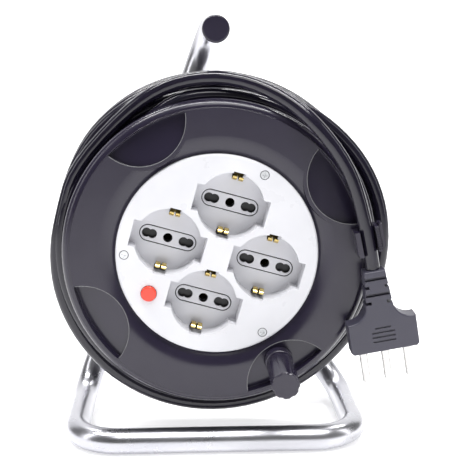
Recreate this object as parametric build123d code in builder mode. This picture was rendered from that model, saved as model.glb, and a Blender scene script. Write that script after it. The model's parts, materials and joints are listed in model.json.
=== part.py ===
from build123d import *
import os
from math import cos, pi, radians, sin, tan

# Extension cord reel: a drum of cable turning on the bent end of a one-piece
# steel tube stand, with four universal sockets in its face, a thermal cut-out,
# a crank knob, and the cable's free end clipped at the rim with its plug.
#
# Millimetres. +Z is up, the sockets face -Y, and +X is on the right of
# someone who looks at them. The origin lies on the floor, under the middle of
# the stand and knob together. Depths are measured back from the face of the
# front flange, and the drum's own x and up axes turn with the drum.

# --- driving dimensions -------------------------------------------------------
# Tube stand
tube_diameter = 16.0
tube_wall = 1.2
stand_width = 191.0
axis_clearance = 35.0
handle_clearance = 39.0
stand_front_depth = 10.0
stand_rear_clearance = 30.5
stand_bend_radius = 27.0
axle_bend_radius = 26.0
axle_tip_depth = 52.0
end_cap_head = 2.5
end_cap_plug_length = 14.0
end_cap_round = 1.2

# Drum
drum_turn = 15.6
flange_radius = 91.0
flange_wall = 2.5
lip_width = 5.5
lip_roll_depth = 6.0
lip_depth = 9.5
bead_width = 0.8
bead_step = 0.9
lip_heel = 1.5
dish_outer_radius = 70.0
rear_wall = 3.5
rear_edge_step = 1.0
drum_length = 79.5
barrel_radius = 65.0
barrel_wall = 3.0
barrel_seat_wall = 1.5
spigot_length = 5.0
spigot_wall = 2.5
column_radius = 4.5
column_circle = 56.5
column_angles = (15.0, 135.0, 255.0)
rear_rib_count = 12
rear_rib_height = 3.0
rear_rib_wall = 2.2
rear_boss_wall = 2.0
long_screw_radius = 1.65
long_screw_length = 23.5
long_screw_head_radius = 3.4
long_screw_head_height = 2.2
long_screw_head_round = 0.8
long_screw_pilot = 22.0
screw_clearance = 0.2
screw_cross_width = 0.9
screw_cross_length = 3.6
screw_cross_depth = 1.2

# Scoops moulded into the front flange
scoop_radius = 27.0
scoop_tilt = 11.0
scoop_step = 0.8
scoop_angles = (45.0, 135.0, 225.0, 315.0)

# Hub, bush and axle fixings
hub_wall = 4.5
bush_wall = 1.9
running_gap = 0.06
fit_gap = 0.05
body_gap = 0.3
collar_radius = 13.0
collar_length = 2.6
collar_gap = 0.8
collar_side_gap = 0.7
edge_chamfer = 0.5
hub_setback = 0.4
washer_thickness = 1.5
washer_inset = 1.0
axle_screw_radius = 2.5
axle_screw_length = 14.0
axle_screw_head_flats = 8.0
axle_screw_head_height = 3.6
axle_insert_length = 16.0

# Socket panel
panel_radius = 59.5
panel_face_depth = 0.8
panel_thickness = 2.5
panel_edge_gap = 0.6
panel_ledge_width = 2.5
panel_ledge_wall = 3.7
panel_edge_round = 1.1
panel_screw_circle = 54.5
panel_screw_angles = (75.0, 195.0, 315.0)
panel_screw_head_radius = 2.4
panel_screw_head_height = 1.3
panel_screw_head_gap = 0.4
panel_screw_radius = 1.45
panel_screw_length = 9.5
panel_screw_head_sink = 0.2
panel_screw_cross_width = 0.8
panel_screw_cross_length = 2.9
panel_boss_radius = 4.0
panel_boss_floor = 2.0

# Sockets
socket_circle = 30.0
socket_angles = (0.0, 90.0, 180.0, 270.0)
recess_share = 0.65
recess_depth = 12.7
notch_reach = 2.5
notch_width = 16.0
insert_wall = 1.2
insert_floor = 2.5
part_gap = 0.15
pin_hole_radius = 2.75
small_pin_pitch = 9.5
large_pin_pitch = 13.0
capsule_length = 34.7
capsule_width = 10.3
capsule_groove_width = 0.55
capsule_groove_depth = 1.1
shutter_thickness = 1.6
shutter_travel = 6.6
shutter_half_width = 3.6
shutter_overlap = 0.45
shutter_bar_length = 20.0
shutter_bar_height = 3.3
shutter_bar_overlap = 0.3
contact_setback = 0.4
carrier_length = 15.8
contact_wall = 0.7
contact_length = 13.4
contact_width = 12.6
contact_height = 6.8
tail_wall = 1.2
tail_width = 4.0
strap_width = 6.5
strap_wall = 0.8
strap_inset = 1.5
strap_bulge = 3.2
strap_height = 8.6
strap_slit = 1.1
strap_lean = 1.0
clip_notch_inset = 0.8
clip_notch_reach = 0.6
earth_tube_recess = 5.0

# Busbars, cut-out and wiring
busbar_wall = 0.8
busbar_width = 4.0
busbar_pitch = 3.0
earth_ring_width = 4.5
button_circle = 46.4
button_angle = 225.0
button_radius = 4.5
button_proud = 1.6
button_length = 17.0
button_travel = 2.5
cutout_width = 13.0
cutout_height = 12.0
cutout_length = 26.0
cutout_corner = 1.0
button_edge_round = 0.8
terminal_spacing = 8.0
terminal_width = 6.3
terminal_length = 6.0
wire_radius = 1.3
wire_bend_radius = 2.6
wire_offset = 2.2

# Crank knob
knob_circle = 74.5
knob_angle = 315.0
knob_radius = 8.0
knob_reach = 46.0
knob_bushing_radius = 8.4
knob_bushing_height = 7.5
knob_bushing_back_depth = 6.5
knob_pin_radius = 3.0
knob_pin_head_radius = 5.5
knob_pin_head_height = 1.6
knob_pin_snap_wall = 0.5
knob_pin_snap_length = 2.0
knob_pin_snap_setback = 8.0
knob_pin_tip_setback = 6.0
knob_end_wall = 4.0
knob_edge_chamfer = 0.7
knob_washer_thickness = 0.9
knob_end_play = 0.3
knob_flutes = 8
flute_radius = 3.2
flute_depth = 0.5

# Cable, its inlet and its anchor
cable_diameter = 8.5
winding_height = 11.3
winding_shift = 2.8
winding_gap = 0.5
winding_front_round = 5.0
winding_rear_round = 12.0
inlet_angle = 225.0
inlet_depth = 60.0
lead_inner_end = 40.0
lead_outer_reach = 2.0
grommet_wall = 1.3
grommet_flange_width = 1.6
grommet_flange_wall = 1.2
grommet_setback = 2.2
grommet_length = 4.8
anchor_radius = 50.0
anchor_pad_width = 21.0
anchor_pad_length = 10.0
anchor_bar_length = 8.0
anchor_bar_wall = 3.0
anchor_screw_spacing = 15.0
anchor_screw_head_radius = 2.6
anchor_screw_head_height = 1.8
anchor_screw_hold = 8.0
anchor_pilot = 9.0

# Clip that holds the free end at the rim
clip_share = 0.22
clip_length = 15.0
clip_grip_gap = 0.25
clip_base_width = 17.1
clip_base_shift = 0.9
clip_left_wall = 2.9
clip_right_wall = 2.4
clip_jaw_offset = 0.8
clip_jaw_lip = 1.0
clip_spring_wall = 1.9
clip_spring_gap = 0.5
clip_spring_setback = 3.0
clip_spring_offset = 1.8
clip_rib_pitch = 1.5
clip_rib_gap = 0.6
clip_rib_count = 9

# Plug
plug_width = 40.6
plug_length = 48.5
plug_thickness = 13.0
plug_neck_width = 15.8
plug_neck_length = 19.5
plug_shoulder = 29.5
plug_shoulder_hollow = 3.2
plug_shoulder_share = 0.72
plug_corner = 1.5
plug_edge_round = 1.0
relief_width = 12.4
relief_slot = 1.8
relief_slot_pitch = 4.7
relief_slot_start = 4.6
relief_slot_count = 4
relief_core_wall = 0.3
grip_line_lengths = (9.5, 13.5, 13.5, 13.5)
grip_line_pitch = 2.7
grip_line_width = 1.1
grip_line_depth = 0.8
grip_line_start = 4.5
carrier_width = 34.0
carrier_height = 9.0
carrier_depth = 12.0
carrier_sink = 0.4
plug_shank_length = 11.0
plug_pin_radius = 2.5
plug_pin_length = 19.0
plug_pin_tip_round = 1.4
plug_shank_radius = 2.1
plug_pin_pitch = 13.0

# --- worked-out places ---------------------------------------------------------
axis_height = flange_radius + axis_clearance
handle_rise = flange_radius + handle_clearance
stand_rear_depth = drum_length + stand_rear_clearance
tube_radius = tube_diameter / 2
tube_bore = tube_radius - tube_wall
cable_radius = cable_diameter / 2
front_y = -(stand_rear_depth + tube_radius - knob_reach) / 2
drum_x = (cos(radians(drum_turn)), 0, -sin(radians(drum_turn)))
drum_face = Plane(origin=(0, front_y, axis_height), x_dir=drum_x, z_dir=(0, -1, 0))
drum_section = Plane(origin=(0, front_y, axis_height))
drum_axis = Axis((0, front_y, axis_height), (0, 1, 0))
lip_inner_radius = flange_radius - lip_width
barrel_bore = barrel_radius - barrel_wall
panel_back_depth = panel_face_depth + panel_thickness
ledge_back_depth = panel_back_depth + panel_ledge_wall
rear_face_depth = drum_length - rear_wall
barrel_seat_radius = barrel_radius + barrel_seat_wall
spigot_radius = barrel_bore - body_gap
hub_bore = tube_radius + running_gap + bush_wall + fit_gap
hub_radius = hub_bore + hub_wall
hub_front_depth = axle_tip_depth + hub_setback
recess_radius = recess_share * socket_circle
notch_length = 2 * (recess_radius + notch_reach)
strap_reach = recess_radius - strap_inset
clip_notch_inner = recess_radius - clip_notch_inset
clip_notch_outer = recess_radius + clip_notch_reach
floor_depth = panel_face_depth + recess_depth
insert_back_depth = floor_depth + insert_floor
insert_radius = recess_radius + insert_wall
shutter_room = shutter_thickness + 2 * body_gap
carrier_back_depth = insert_back_depth + shutter_room + carrier_length
contact_front_depth = insert_back_depth + shutter_room + contact_setback
contact_centre = (small_pin_pitch + large_pin_pitch) / 2
earth_ring_radius = socket_circle - earth_ring_width / 2
earth_bar_depth = carrier_back_depth + strap_wall
line_bar_depth = earth_bar_depth + busbar_pitch
neutral_bar_depth = line_bar_depth + busbar_pitch
cutout_back_depth = panel_back_depth + cutout_length
winding_radius = flange_radius + winding_height
winding_front_depth = lip_depth + winding_gap
winding_rear_depth = rear_face_depth - winding_gap


def polar(radius, degrees):
    """A place on the drum's face, in the drum's own turned axes."""
    return radius * cos(radians(degrees)), radius * sin(radians(degrees))


def drum_plane(depth, x=0.0, up=0.0, spin=0.0):
    """A plane that faces the front at a depth and place of the drum."""
    place = drum_face.from_local_coords(Vector(x, up, -depth))
    turned_x = drum_face.x_dir * cos(radians(spin)) + drum_face.y_dir * sin(radians(spin))
    return Plane(origin=place, x_dir=turned_x, z_dir=drum_face.z_dir)


def drum_point(radius, aside, depth, degrees):
    """A point at a radius along a direction of the drum, a little to its side."""
    along = polar(radius, degrees)
    across = polar(aside, degrees + 90)
    return drum_face.from_local_coords(Vector(along[0] + across[0], along[1] + across[1], -depth))


def save(piece, name):
    """Label a finished piece and write it as its own STEP file."""
    piece.part.label = name
    export_step(piece.part, f"parts/{name}.step")


def corner_radii(points):
    """Arc radius at each inner corner: as large as the two runs allow."""
    corners = zip(points, points[1:], points[2:])
    radii = []
    for before, corner, after in corners:
        arriving = Vector(corner) - Vector(before)
        leaving = Vector(after) - Vector(corner)
        half_turn = radians(arriving.get_angle(leaving) / 2)
        radii.append(0.45 * min(arriving.length, leaving.length) / tan(half_turn))
    return radii


os.makedirs("parts", exist_ok=True)

# --- stand ---------------------------------------------------------------------
rail_x = stand_width / 2 - tube_radius
stand_front_y = front_y + stand_front_depth
stand_rear_y = front_y + stand_rear_depth
handle_height = axis_height + handle_rise
tube_start_y = stand_front_y + end_cap_head
axle_tip_y = front_y + axle_tip_depth

with BuildPart() as frame_tube:
    with BuildLine() as stand_path:
        FilletPolyline(
            (0, tube_start_y, handle_height),
            (0, stand_rear_y, handle_height),
            (-rail_x, stand_rear_y, tube_radius),
            (-rail_x, stand_front_y, tube_radius),
            (rail_x, stand_front_y, tube_radius),
            (rail_x, stand_rear_y, tube_radius),
            (0, stand_rear_y, axis_height),
            (0, axle_tip_y, axis_height),
            radius=[stand_bend_radius] * 5 + [axle_bend_radius],
        )
    with BuildSketch(Plane(origin=(0, tube_start_y, handle_height), z_dir=(0, 1, 0))):
        Circle(tube_radius)
        Circle(tube_bore, mode=Mode.SUBTRACT)
    sweep()
save(frame_tube, "frame_tube")

with BuildPart() as handle_end_cap:
    with BuildSketch(Plane(origin=(0, stand_front_y, handle_height), z_dir=(0, 1, 0))):
        Circle(tube_radius)
    extrude(amount=end_cap_head)
    fillet(handle_end_cap.faces().sort_by(Axis.Y)[0].edges(), end_cap_round)
    with BuildSketch(Plane(origin=(0, tube_start_y, handle_height), z_dir=(0, 1, 0))):
        Circle(tube_bore - fit_gap)
    extrude(amount=end_cap_plug_length)
save(handle_end_cap, "handle_end_cap")

with BuildPart() as axle_insert:
    with BuildSketch(drum_plane(axle_tip_depth)):
        Circle(tube_bore - fit_gap)
        Circle(axle_screw_radius, mode=Mode.SUBTRACT)
    extrude(amount=-axle_insert_length)
save(axle_insert, "axle_insert")

with BuildPart() as axle_washer:
    with BuildSketch(drum_plane(axle_tip_depth)):
        Circle(hub_radius - washer_inset)
        Circle(axle_screw_radius + fit_gap, mode=Mode.SUBTRACT)
    extrude(amount=washer_thickness)
save(axle_washer, "axle_washer")

screw_seat_depth = axle_tip_depth - washer_thickness
with BuildPart() as axle_screw:
    with BuildSketch(drum_plane(screw_seat_depth)):
        RegularPolygon(axle_screw_head_flats / 2, 6, major_radius=False)
    extrude(amount=axle_screw_head_height)
    chamfer(axle_screw.faces().sort_by(Axis.Y)[0].edges(), edge_chamfer)
    with BuildSketch(drum_plane(screw_seat_depth)):
        Circle(axle_screw_radius - fit_gap)
    extrude(amount=-axle_screw_length)
save(axle_screw, "axle_screw")

collar_depth = drum_length + collar_gap
with BuildPart() as axle_collar:
    with BuildSketch(drum_plane(collar_depth)):
        Circle(collar_radius)
        Circle(tube_radius + fit_gap, mode=Mode.SUBTRACT)
    extrude(amount=-collar_length)
    collar_rims = axle_collar.edges().filter_by(GeomType.CIRCLE).group_by(SortBy.RADIUS)[-1]
    chamfer(collar_rims, edge_chamfer)
save(axle_collar, "axle_collar")

# --- drum shells -----------------------------------------------------------------
dish_inner_radius = panel_radius + panel_edge_gap
bead_radius = lip_inner_radius + bead_width
lip_middle_radius = bead_radius + 0.68 * (flange_radius - bead_radius)
lip_middle = (lip_middle_radius, bead_step + 0.3 * (lip_roll_depth - bead_step))
ledge_radius = panel_radius - panel_ledge_width


def scoop_floor(degrees):
    """The tilted floor of one scoop, which runs deeper towards the rim."""
    inner = flange_radius - scoop_radius
    start = drum_point(inner, 0, scoop_step, degrees)
    outward = drum_point(inner + 1, 0, scoop_step, degrees) - start
    back = Vector(0, 1, 0)
    tilt = radians(scoop_tilt)
    along = outward * cos(tilt) + back * sin(tilt)
    facing = outward * sin(tilt) - back * cos(tilt)
    return Plane(origin=start, x_dir=along, z_dir=facing)


def scoop_outline(wall):
    """A scoop's round outline, cut off by the flange's lip."""
    with Locations((scoop_radius, 0)):
        Circle(scoop_radius + wall)
    with Locations((scoop_radius - flange_radius, 0)):
        Circle(lip_inner_radius + wall / 3, mode=Mode.INTERSECT)


with BuildPart() as front_flange:
    with BuildSketch(drum_section):
        with BuildLine():
            TangentArc((dish_outer_radius, 0), (dish_inner_radius, panel_back_depth), tangent=(-1, 0))
            Polyline((dish_outer_radius, 0), (bead_radius, 0), (bead_radius, bead_step))
            ThreePointArc((bead_radius, bead_step), lip_middle, (flange_radius, lip_roll_depth))
            Polyline(
                (flange_radius, lip_roll_depth),
                (flange_radius, lip_depth),
                (lip_inner_radius, lip_depth),
                (lip_inner_radius - lip_heel, flange_wall),
                (barrel_seat_radius, flange_wall),
                (barrel_seat_radius, ledge_back_depth),
                (spigot_radius, ledge_back_depth),
                (spigot_radius, ledge_back_depth + spigot_length),
                (spigot_radius - spigot_wall, ledge_back_depth + spigot_length),
                (spigot_radius - spigot_wall, ledge_back_depth),
                (ledge_radius, ledge_back_depth),
                (ledge_radius, panel_back_depth),
                (dish_inner_radius, panel_back_depth),
            )
        make_face()
    revolve(axis=drum_axis)
    # walls behind the scoops, trimmed to the flange's face and rolled lip
    for angle in scoop_angles:
        with BuildSketch(scoop_floor(angle).offset(-flange_wall)):
            scoop_outline(flange_wall)
        extrude(amount=flange_wall + lip_roll_depth)
    with BuildSketch(drum_face):
        Circle(flange_radius + lip_width)
    extrude(amount=2 * lip_depth, mode=Mode.SUBTRACT)
    with BuildSketch(drum_section):
        with BuildLine():
            ThreePointArc((bead_radius, bead_step), lip_middle, (flange_radius, lip_roll_depth))
            Polyline(
                (flange_radius, lip_roll_depth),
                (flange_radius + lip_width, lip_roll_depth),
                (flange_radius + lip_width, -lip_width),
                (bead_radius, -lip_width),
                (bead_radius, bead_step),
            )
        make_face()
    revolve(axis=drum_axis, mode=Mode.SUBTRACT)
    for angle in scoop_angles:
        with BuildSketch(scoop_floor(angle)):
            scoop_outline(0)
        extrude(amount=2 * lip_depth, mode=Mode.SUBTRACT)
    # screw bosses for the panel, long columns for the rear flange
    with BuildSketch(drum_plane(panel_back_depth)):
        for angle in panel_screw_angles:
            with Locations(polar(panel_screw_circle, angle)):
                Circle(panel_boss_radius)
    extrude(amount=-(panel_screw_length + panel_boss_floor))
    with BuildSketch(drum_plane(panel_back_depth)):
        for angle in column_angles:
            with Locations(polar(column_circle, angle)):
                Circle(column_radius)
    extrude(amount=-(rear_face_depth - panel_back_depth))
    # pilot holes
    with BuildSketch(drum_plane(panel_back_depth)):
        for angle in panel_screw_angles:
            with Locations(polar(panel_screw_circle, angle)):
                Circle(panel_screw_radius + fit_gap)
    extrude(amount=-panel_screw_length, mode=Mode.SUBTRACT)
    with BuildSketch(drum_plane(rear_face_depth)):
        for angle in column_angles:
            with Locations(polar(column_circle, angle)):
                Circle(long_screw_radius + fit_gap)
    extrude(amount=long_screw_pilot, mode=Mode.SUBTRACT)
    # the knob bushing's hole
    with BuildSketch(drum_plane(0)):
        with Locations(polar(knob_circle, knob_angle)):
            Circle(knob_bushing_radius + fit_gap)
    extrude(amount=-2 * lip_depth, mode=Mode.SUBTRACT)
save(front_flange, "front_flange")

inlet_radius = cable_radius + fit_gap + grommet_wall


def radial_plane(radius, depth, degrees):
    """A plane that faces straight out from the drum's axis."""
    place = drum_point(radius, 0, depth, degrees)
    outward = drum_point(radius + 1, 0, depth, degrees) - place
    return Plane(origin=place, x_dir=(0, 1, 0), z_dir=outward)


with BuildPart() as drum_barrel:
    with BuildSketch(drum_plane(ledge_back_depth)):
        Circle(barrel_radius)
        Circle(barrel_bore, mode=Mode.SUBTRACT)
    extrude(amount=-(rear_face_depth - ledge_back_depth))
    with BuildSketch(radial_plane(barrel_bore - barrel_wall, inlet_depth, inlet_angle)):
        Circle(inlet_radius)
    extrude(amount=3 * barrel_wall, mode=Mode.SUBTRACT)
save(drum_barrel, "drum_barrel")

lead_back_depth = inlet_depth + cable_radius

with BuildPart() as rear_flange:
    with BuildSketch(drum_section):
        with BuildLine():
            Polyline(
                (hub_bore, hub_front_depth),
                (hub_radius, hub_front_depth),
                (hub_radius, rear_face_depth),
                (spigot_radius - spigot_wall, rear_face_depth),
                (spigot_radius - spigot_wall, rear_face_depth - spigot_length),
                (spigot_radius, rear_face_depth - spigot_length),
                (spigot_radius, rear_face_depth),
                (flange_radius - rear_edge_step, rear_face_depth),
                (flange_radius, rear_face_depth + rear_edge_step),
                (flange_radius, drum_length + rear_rib_height),
                (flange_radius - flange_wall, drum_length + rear_rib_height),
                (flange_radius - flange_wall, drum_length),
                (hub_bore, drum_length),
                close=True,
            )
        make_face()
    revolve(axis=drum_axis)
    rib_start = hub_radius + rear_boss_wall / 2
    rib_length = flange_radius - flange_wall / 2 - rib_start
    with BuildSketch(drum_plane(drum_length)):
        Circle(barrel_radius)
        Circle(barrel_radius - rear_rib_wall, mode=Mode.SUBTRACT)
        Circle(hub_radius + rear_boss_wall)
        Circle(collar_radius + collar_side_gap, mode=Mode.SUBTRACT)
    extrude(amount=-rear_rib_height)
    with BuildSketch(drum_plane(drum_length)):
        with PolarLocations(rib_start + rib_length / 2, rear_rib_count):
            Rectangle(rib_length, rear_rib_wall)
    extrude(amount=-rear_rib_height)
    # room for the columns in the spigot
    with BuildSketch(drum_plane(rear_face_depth)):
        for angle in column_angles:
            with Locations(polar(column_circle, angle)):
                Circle(column_radius + body_gap)
    extrude(amount=spigot_length, mode=Mode.SUBTRACT)
    # pad under the cord anchor
    with BuildSketch(drum_plane(lead_back_depth, *polar(anchor_radius, inlet_angle), inlet_angle)):
        Rectangle(anchor_pad_length, anchor_pad_width)
    extrude(amount=-(rear_face_depth - lead_back_depth))
    # holes for the long screws and the anchor screws
    with BuildSketch(drum_plane(rear_face_depth)):
        for angle in column_angles:
            with Locations(polar(column_circle, angle)):
                Circle(long_screw_radius + screw_clearance)
    extrude(amount=-2 * rear_wall, mode=Mode.SUBTRACT)
    with BuildSketch(drum_plane(lead_back_depth, *polar(anchor_radius, inlet_angle), inlet_angle)):
        with GridLocations(0, anchor_screw_spacing, 1, 2):
            Circle(panel_screw_radius + fit_gap)
    extrude(amount=-anchor_pilot, mode=Mode.SUBTRACT)
save(rear_flange, "rear_flange")

with BuildPart() as hub_bush:
    with BuildSketch(drum_plane(hub_front_depth)):
        Circle(hub_bore - fit_gap)
        Circle(tube_radius + running_gap, mode=Mode.SUBTRACT)
    extrude(amount=-(drum_length - hub_front_depth))
save(hub_bush, "hub_bush")

with BuildPart() as flange_screws:
    with BuildSketch(drum_plane(drum_length)):
        for angle in column_angles:
            with Locations(polar(column_circle, angle)):
                Circle(long_screw_radius)
    extrude(amount=long_screw_length)
    with BuildSketch(drum_plane(drum_length)):
        for angle in column_angles:
            with Locations(polar(column_circle, angle)):
                Circle(long_screw_head_radius)
    extrude(amount=-long_screw_head_height)
    fillet(flange_screws.faces().group_by(Axis.Y)[-1].edges(), long_screw_head_round)
    with BuildSketch(drum_plane(drum_length + long_screw_head_height)):
        for angle in column_angles:
            with Locations(polar(column_circle, angle)):
                Rectangle(screw_cross_length, screw_cross_width)
                Rectangle(screw_cross_width, screw_cross_length)
    extrude(amount=screw_cross_depth, mode=Mode.SUBTRACT)
save(flange_screws, "flange_screws")

# --- socket panel ------------------------------------------------------------------
strap_side_gap = 0.3
strap_slot_width = strap_width + 2 * strap_side_gap
clip_notch_middle = (clip_notch_inner + clip_notch_outer) / 2
clip_notch_length = clip_notch_outer - clip_notch_inner


def recess_outline(grow=0.0):
    """The socket's round recess with its two side notches along the hole line."""
    Circle(recess_radius + grow)
    Rectangle(notch_length + 2 * grow, notch_width + 2 * grow)


def clip_notches(grow=0.0):
    """The two slots behind the earth clips, cut through the recess's wall."""
    with GridLocations(0, 2 * clip_notch_middle, 1, 2):
        Rectangle(strap_slot_width + 2 * grow, clip_notch_length + 2 * grow)


with BuildPart() as socket_panel:
    with BuildSketch(drum_plane(panel_face_depth)):
        Circle(panel_radius)
    extrude(amount=-panel_thickness)
    fillet(socket_panel.faces().sort_by(Axis.Y)[0].edges(), panel_edge_round)
    with BuildSketch(drum_plane(panel_face_depth)):
        for angle in socket_angles:
            with Locations(polar(socket_circle, angle)):
                recess_outline()
                clip_notches()
        with Locations(polar(button_circle, button_angle)):
            Circle(button_radius + body_gap)
        for angle in panel_screw_angles:
            with Locations(polar(panel_screw_circle, angle)):
                Circle(panel_screw_radius + screw_clearance)
    extrude(amount=-panel_thickness, mode=Mode.SUBTRACT)
    with BuildSketch(drum_plane(panel_face_depth)):
        for angle in panel_screw_angles:
            with Locations(polar(panel_screw_circle, angle)):
                Circle(panel_screw_head_radius + panel_screw_head_gap)
    extrude(amount=-panel_screw_head_height, mode=Mode.SUBTRACT)
save(socket_panel, "socket_panel")

with BuildPart() as panel_screws:
    with BuildSketch(drum_plane(panel_face_depth + panel_screw_head_sink)):
        for angle in panel_screw_angles:
            with Locations(polar(panel_screw_circle, angle)):
                Circle(panel_screw_head_radius)
    extrude(amount=-(panel_screw_head_height - panel_screw_head_sink))
    with BuildSketch(drum_plane(panel_face_depth + panel_screw_head_height)):
        for angle in panel_screw_angles:
            with Locations(polar(panel_screw_circle, angle)):
                Circle(panel_screw_radius)
    extrude(amount=-panel_screw_length)
    with BuildSketch(drum_plane(panel_face_depth + panel_screw_head_sink)):
        for angle in panel_screw_angles:
            with Locations(polar(panel_screw_circle, angle)):
                Rectangle(panel_screw_cross_length, panel_screw_cross_width)
                Rectangle(panel_screw_cross_width, panel_screw_cross_length)
    extrude(amount=-panel_screw_cross_width, mode=Mode.SUBTRACT)
save(panel_screws, "panel_screws")

# --- sockets -------------------------------------------------------------------------
centre_tube_radius = pin_hole_radius + fit_gap
strap_front_depth = floor_depth - strap_height
earth_tube_depth = contact_front_depth + earth_tube_recess
shutter_inner = small_pin_pitch - pin_hole_radius - shutter_overlap
shutter_outer = large_pin_pitch + pin_hole_radius + shutter_overlap


def pin_holes():
    """One earth hole, and a pair of joined holes on each side of it."""
    with Locations((0, 0), (small_pin_pitch, 0), (large_pin_pitch, 0)):
        Circle(pin_hole_radius)
    with Locations((-small_pin_pitch, 0), (-large_pin_pitch, 0)):
        Circle(pin_hole_radius)


def strap_half(side):
    """Half of the earth strap seen from its edge: one clip that bows inward."""
    outer = strap_reach + strap_wall / 2
    inner = strap_reach - strap_wall / 2
    bow_depth = (strap_front_depth + floor_depth) / 2
    Polyline(
        (side * (inner - strap_lean), strap_front_depth),
        (side * (outer - strap_lean), strap_front_depth),
    )
    ThreePointArc(
        (side * (outer - strap_lean), strap_front_depth),
        (side * (outer - strap_bulge), bow_depth),
        (side * outer, floor_depth),
    )
    Polyline(
        (side * outer, floor_depth),
        (side * outer, carrier_back_depth + strap_wall),
        (0, carrier_back_depth + strap_wall),
        (0, carrier_back_depth),
        (side * inner, carrier_back_depth),
        (side * inner, floor_depth),
    )
    ThreePointArc(
        (side * inner, floor_depth),
        (side * (inner - strap_bulge), bow_depth),
        (side * (inner - strap_lean), strap_front_depth),
    )


for number, angle in enumerate(socket_angles, start=1):
    centre = polar(socket_circle, angle)

    with BuildPart() as socket_insert:
        with BuildSketch(drum_plane(panel_back_depth, *centre)):
            recess_outline(insert_wall)
            clip_notches(insert_wall)
        extrude(amount=-(insert_back_depth - panel_back_depth))
        with BuildSketch(drum_plane(panel_back_depth, *centre)):
            recess_outline()
        extrude(amount=-(floor_depth - panel_back_depth), mode=Mode.SUBTRACT)
        with BuildSketch(drum_plane(floor_depth, *centre)):
            pin_holes()
            with GridLocations(0, 2 * strap_reach, 1, 2):
                Rectangle(strap_slot_width, strap_wall + 2 * strap_side_gap)
        extrude(amount=-insert_floor, mode=Mode.SUBTRACT)
        with BuildSketch(drum_plane(panel_back_depth, *centre)):
            clip_notches()
        extrude(amount=-(insert_back_depth - panel_back_depth), mode=Mode.SUBTRACT)
        with BuildSketch(drum_plane(floor_depth, *centre)):
            SlotOverall(capsule_length, capsule_width)
            capsule_inner = capsule_length - 2 * capsule_groove_width
            SlotOverall(capsule_inner, capsule_width - 2 * capsule_groove_width, mode=Mode.SUBTRACT)
        extrude(amount=-capsule_groove_depth, mode=Mode.SUBTRACT)
    save(socket_insert, f"socket_insert_{number}")

    with BuildPart() as shutter:
        with BuildSketch(drum_plane(insert_back_depth + body_gap, *centre)):
            wing = shutter_outer - shutter_inner
            with GridLocations(shutter_inner + shutter_outer, 0, 2, 1):
                Rectangle(wing, 2 * shutter_half_width)
            with Locations((0, shutter_half_width + shutter_bar_height / 2 - shutter_bar_overlap)):
                Rectangle(shutter_bar_length, shutter_bar_height)
        extrude(amount=-shutter_thickness)
    save(shutter, f"shutter_{number}")

    with BuildPart() as contact_carrier:
        with BuildSketch(drum_plane(insert_back_depth, *centre)):
            Circle(insert_radius)
        extrude(amount=-(carrier_back_depth - insert_back_depth))
        with BuildSketch(drum_plane(insert_back_depth, *centre)):
            Circle(recess_radius)
        extrude(amount=-shutter_room, mode=Mode.SUBTRACT)
        with BuildSketch(drum_plane(insert_back_depth, *centre)):
            Circle(centre_tube_radius + strap_wall / 2 + part_gap)
            with GridLocations(2 * contact_centre, 0, 2, 1):
                Rectangle(contact_width + 2 * body_gap, contact_height + 2 * body_gap)
            with GridLocations(0, 2 * strap_reach, 1, 2):
                Rectangle(strap_slot_width, strap_wall + 2 * body_gap)
        extrude(amount=-(carrier_back_depth - insert_back_depth), mode=Mode.SUBTRACT)
    save(contact_carrier, f"contact_carrier_{number}")

    with BuildPart() as pin_contacts:
        with BuildSketch(drum_plane(contact_front_depth, *centre)):
            with GridLocations(2 * contact_centre, 0, 2, 1):
                Rectangle(contact_width, contact_height)
        extrude(amount=-contact_length)
        with BuildSketch(drum_plane(contact_front_depth, *centre)):
            with GridLocations(2 * contact_centre, 0, 2, 1):
                Rectangle(contact_width - 2 * contact_wall, contact_height - 2 * contact_wall)
        extrude(amount=-(contact_length - contact_wall), mode=Mode.SUBTRACT)
        contact_back_depth = contact_front_depth + contact_length
        with BuildSketch(drum_plane(contact_back_depth - contact_wall / 2, *centre)):
            with Locations((contact_centre, 0)):
                Rectangle(tail_wall, tail_width)
        extrude(amount=-(line_bar_depth - contact_back_depth + contact_wall / 2))
        with BuildSketch(drum_plane(contact_back_depth - contact_wall / 2, *centre)):
            with Locations((-contact_centre, 0)):
                Rectangle(tail_wall, tail_width)
        extrude(amount=-(neutral_bar_depth - contact_back_depth + contact_wall / 2))
    save(pin_contacts, f"pin_contacts_{number}")

    with BuildPart() as earth_strap:
        edge_place = drum_face.from_local_coords(Vector(centre[0] + strap_width / 2, centre[1], 0))
        edge_plane = Plane(origin=edge_place, x_dir=drum_face.y_dir, z_dir=drum_face.x_dir * -1)
        with BuildSketch(edge_plane):
            for side in (1, -1):
                with BuildLine():
                    strap_half(side)
                make_face()
        extrude(amount=strap_width)
        # each clip is slit into two prongs
        with BuildSketch(drum_plane(strap_front_depth, *centre)):
            Rectangle(strap_slit, 3 * strap_reach)
        extrude(amount=-(strap_height - strap_wall), mode=Mode.SUBTRACT)
        with BuildSketch(drum_plane(earth_tube_depth, *centre)):
            Circle(centre_tube_radius + strap_wall / 2)
            Circle(centre_tube_radius, mode=Mode.SUBTRACT)
        extrude(amount=-(carrier_back_depth + strap_wall / 2 - earth_tube_depth))
    save(earth_strap, f"earth_strap_{number}")

# --- busbars, thermal cut-out and wiring ----------------------------------------------
with BuildPart() as earth_busbar:
    with BuildSketch(drum_plane(earth_bar_depth)):
        Circle(earth_ring_radius + earth_ring_width / 2)
        Circle(earth_ring_radius - earth_ring_width / 2, mode=Mode.SUBTRACT)
    extrude(amount=-busbar_wall)
save(earth_busbar, "earth_busbar")

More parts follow.
